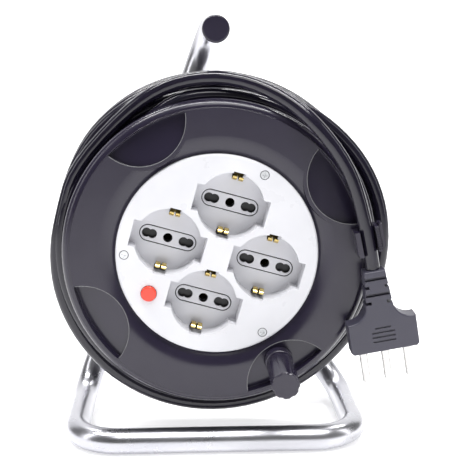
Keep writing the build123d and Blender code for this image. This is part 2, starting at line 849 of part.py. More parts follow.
bar_side = socket_circle * 2 ** 0.5
bars = (("line_busbar", 1, line_bar_depth), ("neutral_busbar", -1, neutral_bar_depth))
for name, side, depth in bars:
    with BuildPart() as busbar:
        with BuildSketch(drum_plane(depth, side * contact_centre, 0)):
            Rectangle(bar_side + busbar_width, bar_side + busbar_width, rotation=45)
            bar_inside = bar_side - busbar_width
            Rectangle(bar_inside, bar_inside, rotation=45, mode=Mode.SUBTRACT)
        extrude(amount=-busbar_wall)
    save(busbar, name)

button_place = polar(button_circle, button_angle)
button_front_depth = panel_face_depth - button_proud
button_back_depth = button_front_depth + button_length

with BuildPart() as thermal_cutout:
    with BuildSketch(drum_plane(panel_back_depth, *button_place, button_angle)):
        RectangleRounded(cutout_height, cutout_width, cutout_corner)
    extrude(amount=-cutout_length)
    with BuildSketch(drum_plane(panel_back_depth, *button_place)):
        Circle(button_radius + body_gap)
    button_room = button_back_depth + button_travel + body_gap
    extrude(amount=-(button_room - panel_back_depth), mode=Mode.SUBTRACT)
save(thermal_cutout, "thermal_cutout")

with BuildPart() as reset_button:
    with BuildSketch(drum_plane(button_front_depth, *button_place)):
        Circle(button_radius)
    extrude(amount=-button_length)
    fillet(reset_button.faces().sort_by(Axis.Y)[0].edges(), button_edge_round)
save(reset_button, "reset_button")

with BuildPart() as cutout_terminals:
    with BuildSketch(drum_plane(cutout_back_depth, *button_place, button_angle)):
        with GridLocations(0, terminal_spacing, 1, 2):
            Rectangle(terminal_width, busbar_wall)
    extrude(amount=-terminal_length)
save(cutout_terminals, "cutout_terminals")

terminal_end_depth = cutout_back_depth + terminal_length
wire_low = inlet_depth - wire_offset / 2
wire_high = inlet_depth + wire_offset
wire_aside = wire_offset * sin(radians(60))
input_side = -terminal_spacing / 2
output_side = terminal_spacing / 2
bar_reach = bar_side / 2
bar_shift = contact_centre * cos(radians(45))
line_stop = bar_reach - bar_shift
neutral_stop = bar_reach + bar_shift
earth_stop, earth_aside = polar(earth_ring_radius, -30)
# places along each wire: distance from the axis, distance aside, and depth
wire_routes = {
    "line_wire_in": [
        (lead_inner_end, -wire_aside, wire_low),
        (lead_inner_end - 7, -wire_aside, wire_low),
        (lead_inner_end - 5, input_side - 1, terminal_end_depth + 10),
        (button_circle, input_side, terminal_end_depth + 6),
        (button_circle, input_side, terminal_end_depth),
    ],
    "line_wire_out": [
        (button_circle, output_side, terminal_end_depth),
        (button_circle, output_side, terminal_end_depth + 9),
        (socket_circle, 16, terminal_end_depth + 12),
        (line_stop, bar_reach, terminal_end_depth + 11),
        (line_stop, bar_reach, line_bar_depth + busbar_wall),
    ],
    "neutral_wire": [
        (lead_inner_end, wire_aside, wire_low),
        (neutral_stop, wire_aside, wire_low),
        (neutral_stop, wire_aside, neutral_bar_depth + busbar_wall),
    ],
    "earth_wire": [
        (lead_inner_end, 0, wire_high),
        (lead_inner_end - 8, 0, wire_high),
        (earth_stop, earth_aside, inlet_depth - 4),
        (earth_stop, earth_aside, earth_bar_depth + busbar_wall),
    ],
}
for name, route in wire_routes.items():
    with BuildPart() as wire:
        with BuildLine() as wire_path:
            stops = [drum_point(*stop, inlet_angle) for stop in route]
            FilletPolyline(*stops, radius=wire_bend_radius)
        with BuildSketch(Plane(origin=wire_path.line @ 0, z_dir=wire_path.line % 0)):
            Circle(wire_radius)
        sweep()
    save(wire, name)

with BuildPart() as inner_lead:
    with BuildSketch(radial_plane(lead_inner_end, inlet_depth, inlet_angle)):
        Circle(cable_radius)
    extrude(amount=barrel_radius + lead_outer_reach - lead_inner_end)
save(inner_lead, "inner_lead")

with BuildPart() as inlet_grommet:
    with BuildSketch(radial_plane(barrel_bore - grommet_setback, inlet_depth, inlet_angle)):
        Circle(inlet_radius + grommet_flange_width)
    extrude(amount=grommet_flange_wall)
    with BuildSketch(radial_plane(barrel_bore - grommet_setback, inlet_depth, inlet_angle)):
        Circle(inlet_radius - fit_gap)
    extrude(amount=grommet_length)
    with BuildSketch(radial_plane(barrel_bore - barrel_wall, inlet_depth, inlet_angle)):
        Circle(cable_radius + fit_gap)
    extrude(amount=3 * barrel_wall, mode=Mode.SUBTRACT)
save(inlet_grommet, "inlet_grommet")

anchor_front_depth = inlet_depth - cable_radius
anchor_head_depth = anchor_front_depth - anchor_bar_wall
anchor_place = polar(anchor_radius, inlet_angle)
with BuildPart() as cord_anchor:
    with BuildSketch(drum_plane(anchor_front_depth, *anchor_place, inlet_angle)):
        Rectangle(anchor_bar_length, anchor_pad_width)
        with GridLocations(0, anchor_screw_spacing, 1, 2):
            Circle(panel_screw_radius + screw_clearance, mode=Mode.SUBTRACT)
    extrude(amount=anchor_bar_wall)
save(cord_anchor, "cord_anchor")

with BuildPart() as anchor_screws:
    with BuildSketch(drum_plane(anchor_head_depth, *anchor_place, inlet_angle)):
        with GridLocations(0, anchor_screw_spacing, 1, 2):
            Circle(anchor_screw_head_radius)
    extrude(amount=anchor_screw_head_height)
    with BuildSketch(drum_plane(anchor_head_depth, *anchor_place, inlet_angle)):
        with GridLocations(0, anchor_screw_spacing, 1, 2):
            Circle(panel_screw_radius)
    extrude(amount=-(anchor_bar_wall + cable_diameter + anchor_screw_hold))
save(anchor_screws, "anchor_screws")

# --- crank knob ------------------------------------------------------------------------
knob_place = polar(knob_circle, knob_angle)
knob_back_depth = -(knob_bushing_height + knob_washer_thickness + knob_end_play)
knob_length = knob_reach + knob_back_depth
snap_depth = knob_pin_snap_setback - knob_reach
snap_radius = knob_pin_radius + knob_pin_snap_wall
pin_tip_depth = knob_pin_tip_setback - knob_reach
pin_back_depth = knob_bushing_back_depth + knob_pin_head_height

with BuildPart() as knob:
    with BuildSketch(drum_plane(-knob_reach, *knob_place)):
        Circle(knob_radius)
        with PolarLocations(knob_radius + flute_radius - flute_depth, knob_flutes):
            Circle(flute_radius, mode=Mode.SUBTRACT)
    extrude(amount=-knob_length)
    chamfer(knob.faces().sort_by(Axis.Y)[0].edges(), knob_edge_chamfer)
    with BuildSketch(drum_plane(knob_back_depth, *knob_place)):
        Circle(knob_pin_radius + running_gap)
    extrude(amount=knob_length - knob_end_wall, mode=Mode.SUBTRACT)
    with BuildSketch(drum_plane(snap_depth - body_gap, *knob_place)):
        Circle(snap_radius + body_gap)
    extrude(amount=-(knob_pin_snap_length + 2 * body_gap), mode=Mode.SUBTRACT)
save(knob, "knob")

with BuildPart() as knob_bushing:
    with BuildSketch(drum_plane(-knob_bushing_height, *knob_place)):
        Circle(knob_bushing_radius)
        Circle(knob_pin_radius + fit_gap, mode=Mode.SUBTRACT)
    extrude(amount=-(knob_bushing_height + knob_bushing_back_depth))
    bushing_rim = knob_bushing.faces().sort_by(Axis.Y)[0].outer_wire().edges()
    chamfer(bushing_rim, edge_chamfer)
save(knob_bushing, "knob_bushing")

with BuildPart() as knob_pin:
    with BuildSketch(drum_plane(pin_tip_depth, *knob_place)):
        Circle(knob_pin_radius)
    extrude(amount=-(pin_back_depth - pin_tip_depth))
    with BuildSketch(drum_plane(snap_depth, *knob_place)):
        Circle(snap_radius)
    extrude(amount=-knob_pin_snap_length)
    with BuildSketch(drum_plane(knob_bushing_back_depth, *knob_place)):
        Circle(knob_pin_head_radius)
    extrude(amount=-knob_pin_head_height)
save(knob_pin, "knob_pin")

with BuildPart() as knob_washer:
    with BuildSketch(drum_plane(-knob_bushing_height, *knob_place)):
        Circle(knob_radius - washer_inset)
        Circle(knob_pin_radius + fit_gap, mode=Mode.SUBTRACT)
    extrude(amount=knob_washer_thickness)
save(knob_washer, "knob_washer")

# --- cable ---------------------------------------------------------------------------
winding_origin = (winding_shift, front_y + winding_front_depth, axis_height)
winding_length = winding_rear_depth - winding_front_depth
with BuildPart() as cable_winding:
    with BuildSketch(Plane(origin=winding_origin, z_dir=(0, 1, 0))):
        Circle(winding_radius)
    extrude(amount=winding_length)
    outer_edges = cable_winding.edges().filter_by(GeomType.CIRCLE)
    fillet(outer_edges.sort_by(Axis.Y)[0], winding_front_round)
    rear_edge = cable_winding.edges().filter_by(GeomType.CIRCLE).sort_by(Axis.Y)[-1]
    fillet(rear_edge, winding_rear_round)
    with BuildSketch(drum_plane(winding_front_depth)):
        Circle(barrel_radius + body_gap)
    extrude(amount=-winding_length, mode=Mode.SUBTRACT)
save(cable_winding, "cable_winding")

# The free end's route, from inside the outer turns over the rim to the plug:
# right of the drum's axis in flange radii, depth behind the flange's face, and
# above the axis in flange radii.
tail_route = [
    (-0.5495, 17.0, 0.9341),
    (-0.2637, 15.0, 1.1044),
    (0.0879, 10.0, 1.1374),
    (0.4066, 2.5, 1.0275),
    (0.6319, -5.8, 0.8407),
    (0.8352, -7.4, 0.5659),
    (0.9231, -7.8, 0.2802),
    (0.9714, -8.0, 0.0549),
    (0.9945, -8.0, -0.0824),
]
tail_points = []
for right, back, up in tail_route:
    place = Vector(right * flange_radius, front_y + back, axis_height + up * flange_radius)
    tail_points.append(place)
tail_radii = corner_radii(tail_points)
print("cable tail radii", [round(radius, 1) for radius in tail_radii])

with BuildPart() as cable_tail:
    with BuildLine() as tail_path:
        FilletPolyline(*tail_points, radius=tail_radii)
    with BuildSketch(Plane(origin=tail_path.line @ 0, z_dir=tail_path.line % 0)):
        Circle(cable_radius)
    sweep()
tail_length = sum(edge.length for edge in tail_path.edges())
tube_share = cable_tail.part.volume / (pi * cable_radius ** 2 * tail_length)
print("cable tail length", round(tail_length, 1), "volume share of the tube", round(tube_share, 4))
save(cable_tail, "cable_tail")

# Two-jaw clip at the rim, in line with the run of cable that it holds
clip_down = (tail_points[7] - tail_points[6]).normalized()
clip_right = Vector(0, -1, 0).cross(clip_down).normalized()
clip_centre = tail_points[7] + (tail_points[6] - tail_points[7]) * clip_share
clip_origin = Vector(clip_centre.X, front_y, clip_centre.Z)
clip_plane = Plane(origin=clip_origin, x_dir=(clip_right.X, 0, clip_right.Z), z_dir=(0, -1, 0))
cable_depth = clip_centre.Y - front_y
clip_inner = cable_radius + clip_grip_gap
clip_base_back = cable_depth + clip_inner
clip_front = cable_radius + clip_jaw_lip - cable_depth
left_jaw = -(clip_inner + clip_left_wall / 2)
right_jaw = clip_inner + clip_right_wall / 2
spring_jaw = clip_inner + clip_right_wall + clip_spring_gap + clip_spring_wall / 2

with BuildPart() as cord_clip:
    with BuildSketch(clip_plane):
        with Locations((clip_base_shift, 0)):
            Rectangle(clip_base_width, clip_length)
    extrude(amount=-clip_base_back)
    with BuildSketch(clip_plane):
        with Locations((left_jaw, -clip_jaw_offset)):
            Rectangle(clip_left_wall, clip_length)
        with Locations((right_jaw, clip_jaw_offset)):
            Rectangle(clip_right_wall, clip_length)
    extrude(amount=clip_front)
    with BuildSketch(clip_plane):
        with Locations((spring_jaw, clip_spring_offset)):
            Rectangle(clip_spring_wall, clip_length - 1)
    extrude(amount=clip_front - clip_spring_setback)
    # fine grip ribs on the outer jaw's front
    with BuildSketch(clip_plane.offset(clip_front)):
        with Locations((right_jaw, clip_jaw_offset)):
            with GridLocations(0, clip_rib_pitch, 1, clip_rib_count):
                Rectangle(clip_right_wall, clip_rib_gap)
    extrude(amount=-clip_rib_gap, mode=Mode.SUBTRACT)
save(cord_clip, "cord_clip")

# --- plug ----------------------------------------------------------------------------
plug_down = (tail_points[-1] - tail_points[-2]).normalized()
plug_right = Vector(-plug_down.Z, 0, plug_down.X)
plug_face = Plane(origin=tail_points[-1], x_dir=plug_right, z_dir=(0, -1, 0))
plug_side = Plane(origin=tail_points[-1], x_dir=(0, -1, 0), z_dir=plug_right * -1)
plug_end = tail_points[-1] + plug_down * plug_length
pin_plane = Plane(origin=plug_end, x_dir=plug_right, z_dir=plug_down)


def half_outline(side):
    """One half of the plug's outline, from the cable's entry to the pin face."""
    relief = side * relief_width / 2
    neck = side * plug_neck_width / 2
    wide = side * plug_width / 2
    shoulder_height = plug_shoulder - plug_neck_length
    hollow_x = neck + side * plug_shoulder_hollow
    hollow_y = -(plug_neck_length + plug_shoulder_share * shoulder_height)
    Polyline((0, 0), (relief, 0), (neck, -plug_neck_length))
    ThreePointArc((neck, -plug_neck_length), (hollow_x, hollow_y), (wide, -plug_shoulder))
    Polyline(
        (wide, -plug_shoulder),
        (wide, -(plug_length - plug_corner)),
        (wide - side * plug_corner, -plug_length),
        (0, -plug_length),
    )


with BuildPart() as plug_body:
    with BuildSketch(plug_face):
        with BuildLine():
            half_outline(1)
            half_outline(-1)
        make_face()
    extrude(amount=plug_thickness / 2, both=True)
    front_face = plug_body.faces().filter_by(Axis.Y).sort_by(Axis.Y)[0]
    fillet(front_face.edges(), plug_edge_round)
    back_face = plug_body.faces().filter_by(Axis.Y).sort_by(Axis.Y)[-1]
    fillet(back_face.edges(), plug_edge_round)
    # bending slots in the strain relief: across the faces, then into the sides
    core_width = cable_diameter + 2 * relief_core_wall
    for index in range(relief_slot_count):
        slot_up = -(relief_slot_start + index * relief_slot_pitch)
        if index % 2 == 0:
            with BuildSketch(plug_side):
                with GridLocations(plug_thickness + core_width, 0, 2, 1):
                    with Locations((0, slot_up)):
                        Rectangle(plug_thickness, relief_slot)
            extrude(amount=plug_width, both=True, mode=Mode.SUBTRACT)
        else:
            with BuildSketch(plug_face):
                with GridLocations(plug_neck_width + core_width, 0, 2, 1):
                    with Locations((0, slot_up)):
                        Rectangle(plug_neck_width, relief_slot)
            extrude(amount=plug_thickness, both=True, mode=Mode.SUBTRACT)
    # finger-grip lines on the front, and the seat of the pin carrier
    with BuildSketch(plug_face.offset(plug_thickness / 2)):
        for index, line_length in enumerate(grip_line_lengths):
            line_up = -(plug_shoulder + grip_line_start + index * grip_line_pitch)
            with Locations((0, line_up)):
                SlotOverall(line_length, grip_line_width)
    extrude(amount=-grip_line_depth, mode=Mode.SUBTRACT)
    with BuildSketch(pin_plane):
        Rectangle(carrier_width, carrier_height)
    extrude(amount=-carrier_depth, mode=Mode.SUBTRACT)
save(plug_body, "plug_body")

with BuildPart() as plug_pin_carrier:
    with BuildSketch(pin_plane.offset(-carrier_sink)):
        Rectangle(carrier_width - 2 * fit_gap, carrier_height - 2 * fit_gap)
        with GridLocations(plug_pin_pitch, 0, 3, 1):
            Circle(plug_shank_radius + fit_gap, mode=Mode.SUBTRACT)
    extrude(amount=-(carrier_depth - 2 * carrier_sink))
save(plug_pin_carrier, "plug_pin_carrier")

with BuildPart() as plug_pins:
    with BuildSketch(pin_plane.offset(plug_pin_length)):
        with GridLocations(plug_pin_pitch, 0, 3, 1):
            Circle(plug_pin_radius)
    extrude(amount=-plug_pin_length)
    pin_edges = plug_pins.edges()
    pin_tips = [edge for edge in pin_edges if (edge.center() - plug_end).dot(plug_down) > 1]
    fillet(pin_tips, plug_pin_tip_round)
    # the thinner shanks inside the carrier
    with BuildSketch(pin_plane):
        with GridLocations(plug_pin_pitch, 0, 3, 1):
            Circle(plug_shank_radius)
    extrude(amount=-plug_shank_length)
save(plug_pins, "plug_pins")
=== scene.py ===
import json
from math import cos, exp, pi, radians, sin

import bpy
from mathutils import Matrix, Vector


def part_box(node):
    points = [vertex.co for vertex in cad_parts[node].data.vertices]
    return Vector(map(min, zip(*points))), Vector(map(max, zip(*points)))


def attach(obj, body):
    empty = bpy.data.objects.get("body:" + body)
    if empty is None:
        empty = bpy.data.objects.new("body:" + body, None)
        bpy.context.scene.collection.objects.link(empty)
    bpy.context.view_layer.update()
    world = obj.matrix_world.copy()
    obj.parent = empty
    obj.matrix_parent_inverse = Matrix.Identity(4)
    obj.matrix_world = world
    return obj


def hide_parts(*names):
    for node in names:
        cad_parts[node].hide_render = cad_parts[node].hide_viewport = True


# Looks of an extension cord reel: a cable drum on a bent tube stand, four
# sockets in its face, and the cable's end clipped at the rim with its plug.
# Metres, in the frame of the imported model: +Z up, the sockets face -Y.

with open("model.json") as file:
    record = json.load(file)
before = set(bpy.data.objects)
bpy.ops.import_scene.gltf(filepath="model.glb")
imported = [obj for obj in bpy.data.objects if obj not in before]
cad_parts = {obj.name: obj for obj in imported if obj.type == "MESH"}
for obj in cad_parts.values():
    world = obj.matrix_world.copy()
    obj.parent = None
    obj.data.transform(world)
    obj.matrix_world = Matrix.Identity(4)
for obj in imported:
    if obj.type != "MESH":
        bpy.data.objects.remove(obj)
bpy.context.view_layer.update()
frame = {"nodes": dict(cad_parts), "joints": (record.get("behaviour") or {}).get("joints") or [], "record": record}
scene = bpy.context.scene
MM = 0.001

# --- places taken from the frame ------------------------------------------------
drum_joint = next(joint for joint in frame["joints"] if joint["name"] == "drum_spin")
AXIS_X, _, AXIS_Z = drum_joint["pos_m"]
PANEL_RECESS = 0.8 * MM
FACE_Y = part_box("socket_panel")[0].y - PANEL_RECESS
# how far the drum stands turned, and the directions of its details before that turn
DRUM_TURN = 15.6
SCREW_DIRECTIONS = (75, 195, 315)
SCREW_CIRCLE = 54.5 * MM
BUTTON_DIRECTION = 225
BUTTON_CIRCLE = 46.4 * MM
SCOOP_DIRECTIONS = (45, 135, 225, 315)
SCOOP_CIRCLE = 91.0 * MM
SCOOP_RADIUS = 27.0 * MM
SCOOP_OUTER_LIMIT = 85.2 * MM
RECESS_FLOOR_DEPTH = 13.65 * MM
MIDDLE = Vector((0, 0, 0.13))


def on_circle(radius, degrees):
    """The way from a circle's middle to a point of it, in the plane of the drum's face."""
    turn = radians(degrees)
    return Vector((radius * cos(turn), 0, radius * sin(turn)))


def around(radius, degrees, depth):
    """A point at a radius and angle round the drum's axis, and a depth behind its face."""
    return Vector((AXIS_X, FACE_Y + depth, AXIS_Z)) + on_circle(radius, degrees)


def add_object(name, data):
    """A new object in the scene."""
    added = bpy.data.objects.new(name, data)
    scene.collection.objects.link(added)
    return added


# --- camera --------------------------------------------------------------------
camera_data = bpy.data.cameras.new("camera")
camera_data.lens = 85
camera_data.sensor_width = 36
camera = add_object("camera", camera_data)
camera.location = (-0.0217, -0.6693, 0.2670)
camera.rotation_euler = (radians(78.5), 0, radians(-2.9))
scene.camera = camera

# --- cable ---------------------------------------------------------------------
CABLE = 8.5 * MM
POINTS_PER_TURN = 24
POINT_STEP = 360 / POINTS_PER_TURN
# a curve of order 3 runs this much inside the circle of its control points
CURVE_SHARE = (3 + cos(2 * pi / POINTS_PER_TURN)) / 4
START_ANGLE = 209.4
# one row a layer: radius, first depth, last depth, turns
LAYERS = (
    (69.7 * MM, 60.0 * MM, 14.6 * MM, 5.3),
    (77.2 * MM, 14.6 * MM, 71.0 * MM, 6.5),
    (84.7 * MM, 71.0 * MM, 14.6 * MM, 6.5),
    (92.0 * MM, 14.6 * MM, 70.5 * MM, 6.5),
)
# the outermost layer swells out on the left over its first quarter
LAYER_SWELL = 2.2 * MM
LOOSE_TURNS = 3.4
LOOSE_RADIUS = 99.0 * MM
LOOSE_START_DEPTH = 70.5 * MM
LOOSE_END_DEPTH = 19.5 * MM
# the free end, from inside the outer turns over the rim to the plug: right of
# the drum's axis, behind the flange's face, above the axis
TAIL_ROUTE = (
    (-50.0, 17.0, 85.0),
    (-24.0, 15.0, 100.5),
    (8.0, 10.0, 103.5),
    (37.0, 2.5, 93.5),
    (57.5, -5.8, 76.5),
    (76.0, -7.4, 51.5),
    (84.0, -7.8, 25.5),
    (88.4, -8.0, 5.0),
    (90.5, -8.0, -7.5),
)


def bump_at(degrees, middle, width):
    """A smooth swelling around one direction, from 0 to 1."""
    away = (degrees - middle + 180) % 360 - 180
    return exp(-(away / width) ** 2)


def layer_points():
    """The tidy layers on the barrel, front to back and back again."""
    points = []
    angle = START_ANGLE
    for layer in LAYERS:
        radius, first_depth, last_depth, turns = layer
        steps = round(turns * POINTS_PER_TURN)
        for step in range(steps):
            share = step / steps
            depth = first_depth + (last_depth - first_depth) * share
            swell = 0.35 * MM * sin(radians(angle * 3.1)) + 0.2 * MM * sin(radians(angle * 7.3))
            if layer is LAYERS[-1]:
                swell += LAYER_SWELL * bump_at(angle, 180, 60) * max(0, 1 - share * 4)
            points.append(around((radius + swell) / CURVE_SHARE, angle, depth))
            angle -= POINT_STEP
    return points, angle


def loose_points(angle):
    """The outer turns, which nothing ties, coming back to the front."""
    points = []
    steps = round(LOOSE_TURNS * POINTS_PER_TURN)
    for step in range(steps):
        share = step / steps
        turns_left = (1 - share) * LOOSE_TURNS
        depth = LOOSE_START_DEPTH + (LOOSE_END_DEPTH - LOOSE_START_DEPTH) * share
        depth += 1.6 * MM * sin(radians(angle * 1.7))
        radius = LOOSE_RADIUS + 0.5 * MM * sin(radians(angle * 2.3 + 40))
        # the last turn lifts off at the right and lies close above that
        if turns_left < 1:
            radius += 3.8 * MM * bump_at(angle, 10, 32) - 2.4 * MM * bump_at(angle, 62, 20)
        # every loose turn lies tight against the drum at the left
        radius -= 4.8 * MM * bump_at(angle, 164, 18) + 1.2 * MM * bump_at(angle, 195, 25)
        points.append(around(radius / CURVE_SHARE, angle, depth))
        angle -= POINT_STEP
    return points


def tail_points():
    """The free end, from its offsets in millimetres."""
    return [
        Vector((AXIS_X + aside * MM, FACE_Y + depth * MM, AXIS_Z + up * MM))
        for aside, depth, up in TAIL_ROUTE
    ]


def make_cable():
    """The whole cable as one tube, from its inlet in the barrel to the plug."""
    wound, angle = layer_points()
    points = wound + loose_points(angle) + tail_points()
    data = bpy.data.curves.new("cable", "CURVE")
    data.dimensions = "3D"
    spline = data.splines.new("NURBS")
    spline.points.add(len(points) - 1)
    for control, place in zip(spline.points, points):
        control.co = (*place, 1)
        control.radius = CABLE / 2
    spline.order_u = 3
    spline.use_endpoint_u = True
    spline.resolution_u = 4
    spline.use_smooth = True
    data.bevel_depth = 1.0
    data.bevel_resolution = 5
    data.use_fill_caps = True
    cable = add_object("cable", data)
    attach(cable, "drum")
    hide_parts("cable_winding", "cable_tail")
    return cable


cable = make_cable()


# --- finishes ------------------------------------------------------------------
def finish_of(name, colour, roughness, metallic=0.0):
    """A plain glossy or metal surface, which the functions below add detail to."""
    material = bpy.data.materials.new(name)
    material.use_nodes = True
    shader = material.node_tree.nodes["Principled BSDF"]
    shader.inputs["Base Color"].default_value = (*colour, 1)
    shader.inputs["Roughness"].default_value = roughness
    shader.inputs["Metallic"].default_value = metallic
    return material


def soften_edges(material, radius):
    """Makes sharp moulded or cut edges catch the light as small rounds do."""
    nodes = material.node_tree.nodes
    links = material.node_tree.links
    bevel = nodes.new("ShaderNodeBevel")
    bevel.samples = 4
    bevel.inputs["Radius"].default_value = radius
    links.new(bevel.outputs["Normal"], nodes["Principled BSDF"].inputs["Normal"])


def painted_shade_behind(material, depth):
    """Paints shade: makes whatever lies deeper than this behind the drum's face nearly black, as painted shade in
    the depths of holes.
    """
    nodes = material.node_tree.nodes
    links = material.node_tree.links
    target = nodes["Principled BSDF"].inputs["Base Color"]
    place = nodes.new("ShaderNodeTexCoord")
    split = nodes.new("ShaderNodeSeparateXYZ")
    painted_shade_mask = nodes.new("ShaderNodeMath")
    painted_shade_mask.operation = "GREATER_THAN"
    painted_shade_mask.inputs[1].default_value = FACE_Y + depth
    tone = nodes.new("ShaderNodeMix")
    tone.data_type = "RGBA"
    # nearly black painted shade for the deep parts
    tone.inputs["B"].default_value = (0.010, 0.010, 0.012, 1)
    links.new(place.outputs["Object"], split.inputs["Vector"])
    links.new(split.outputs["Y"], painted_shade_mask.inputs[0])
    links.new(painted_shade_mask.outputs["Value"], tone.inputs["Factor"])
    links.new(target.links[0].from_socket, tone.inputs["A"])
    links.new(tone.outputs["Result"], target)
    return material


def noise(material, scale, detail=4.0, stretch=(1, 1, 1)):
    """Noise in the object's own metres, drawn out along an axis if asked."""
    nodes = material.node_tree.nodes
    links = material.node_tree.links
    place = nodes.new("ShaderNodeTexCoord")
    mapping = nodes.new("ShaderNodeMapping")
    mapping.inputs["Scale"].default_value = stretch
    texture = nodes.new("ShaderNodeTexNoise")
    texture.inputs["Scale"].default_value = scale
    texture.inputs["Detail"].default_value = detail
    links.new(place.outputs["Object"], mapping.inputs["Vector"])
    links.new(mapping.outputs["Vector"], texture.inputs["Vector"])
    return texture.outputs["Fac"]


def add_bump(material, height, distance, strength=1.0):
    """Relief from a height, on top of any relief that is already there."""
    nodes = material.node_tree.nodes
    links = material.node_tree.links
    bump = nodes.new("ShaderNodeBump")
    bump.inputs["Distance"].default_value = distance
    bump.inputs["Strength"].default_value = strength
    target = nodes["Principled BSDF"].inputs["Normal"]
    if target.is_linked:
        links.new(target.links[0].from_socket, bump.inputs["Normal"])
    links.new(height, bump.inputs["Height"])
    links.new(bump.outputs["Normal"], target)


def vary(material, socket, driver, low, high):
    """Lets a number of the shader run between two values with a pattern."""
    nodes = material.node_tree.nodes
    links = material.node_tree.links
    spread = nodes.new("ShaderNodeMapRange")
    spread.inputs["From Min"].default_value = 0.3
    spread.inputs["From Max"].default_value = 0.7
    spread.inputs["To Min"].default_value = low
    spread.inputs["To Max"].default_value = high
    links.new(driver, spread.inputs["Value"])
    links.new(spread.outputs["Result"], nodes["Principled BSDF"].inputs[socket])


def vary_colour(material, driver, dark, light):
    """Lets the colour run between two tones with a pattern."""
    nodes = material.node_tree.nodes
    links = material.node_tree.links
    ramp = nodes.new("ShaderNodeValToRGB")
    ramp.color_ramp.elements[0].position = 0.3
    ramp.color_ramp.elements[0].color = (*dark, 1)
    ramp.color_ramp.elements[1].position = 0.7
    ramp.color_ramp.elements[1].color = (*light, 1)
    links.new(driver, ramp.inputs["Fac"])
    links.new(ramp.outputs["Color"], nodes["Principled BSDF"].inputs["Base Color"])


def moulded(name, colour, roughness, grain=0.02 * MM):
    """Moulded plastic: a fine grain, faint waves, and tones and gloss that vary a little."""
    material = finish_of(name, colour, roughness)
    soften_edges(material, 0.6 * MM)
    light = tuple(min(1, part * 1.12 + 0.001) for part in colour)
    vary_colour(material, noise(material, 28, 3), colour, light)
    vary(material, "Roughness", noise(material, 60, 5), roughness - 0.04, roughness + 0.05)
    add_bump(material, noise(material, 2600, 3), grain)
    add_bump(material, noise(material, 35, 2), 0.08 * MM)
    return material


def satin_steel():
    """The tube's drawn and polished steel."""
    material = finish_of("satin_steel", (0.52, 0.52, 0.55), 0.28, metallic=1.0)
    vary_colour(material, noise(material, 16, 4), (0.49, 0.49, 0.53), (0.56, 0.56, 0.59))
    vary(material, "Roughness", noise(material, 45, 6), 0.25, 0.33)
    add_bump(material, noise(material, 900, 5), 0.004 * MM)
    return material


def turned_metal(name, colour, roughness):
    """A small machined, pressed or plated metal part."""
    material = finish_of(name, colour, roughness, metallic=1.0)
    soften_edges(material, 0.25 * MM)
    dull = tuple(part * 0.82 for part in colour)
    vary_colour(material, noise(material, 140, 4), dull, colour)
    vary(material, "Roughness", noise(material, 300, 4), roughness - 0.05, roughness + 0.08)
    add_bump(material, noise(material, 3000, 3), 0.006 * MM)
    return material


def shaded_deep(material, reach=6 * MM):
    """Darkens a metal where close surfaces shade it, as deep in a recess."""
    nodes = material.node_tree.nodes
    links = material.node_tree.links
    target = nodes["Principled BSDF"].inputs["Base Color"]
    depth = nodes.new("ShaderNodeAmbientOcclusion")
    depth.inputs["Distance"].default_value = reach
    curve = nodes.new("ShaderNodeMath")
    curve.operation = "POWER"
    curve.inputs[1].default_value = 2.2
    shade = nodes.new("ShaderNodeMix")
    shade.data_type = "RGBA"
    shade.blend_type = "MULTIPLY"
    shade.inputs["Factor"].default_value = 1.0
    links.new(depth.outputs["AO"], curve.inputs[0])
    links.new(target.links[0].from_socket, shade.inputs["A"])
    links.new(curve.outputs["Value"], shade.inputs["B"])
    links.new(shade.outputs["Result"], target)
    return material


def cable_sheath():
    """The cable's glossy black sheath, slightly wavy along its length."""
    material = finish_of("cable_sheath", (0.008, 0.007, 0.014), 0.15)
    vary_colour(material, noise(material, 40, 4), (0.006, 0.005, 0.011), (0.011, 0.009, 0.019))
    vary(material, "Roughness", noise(material, 120, 5), 0.11, 0.19)
    add_bump(material, noise(material, 110, 3), 0.07 * MM)
    add_bump(material, noise(material, 1500, 3), 0.006 * MM)
    return material


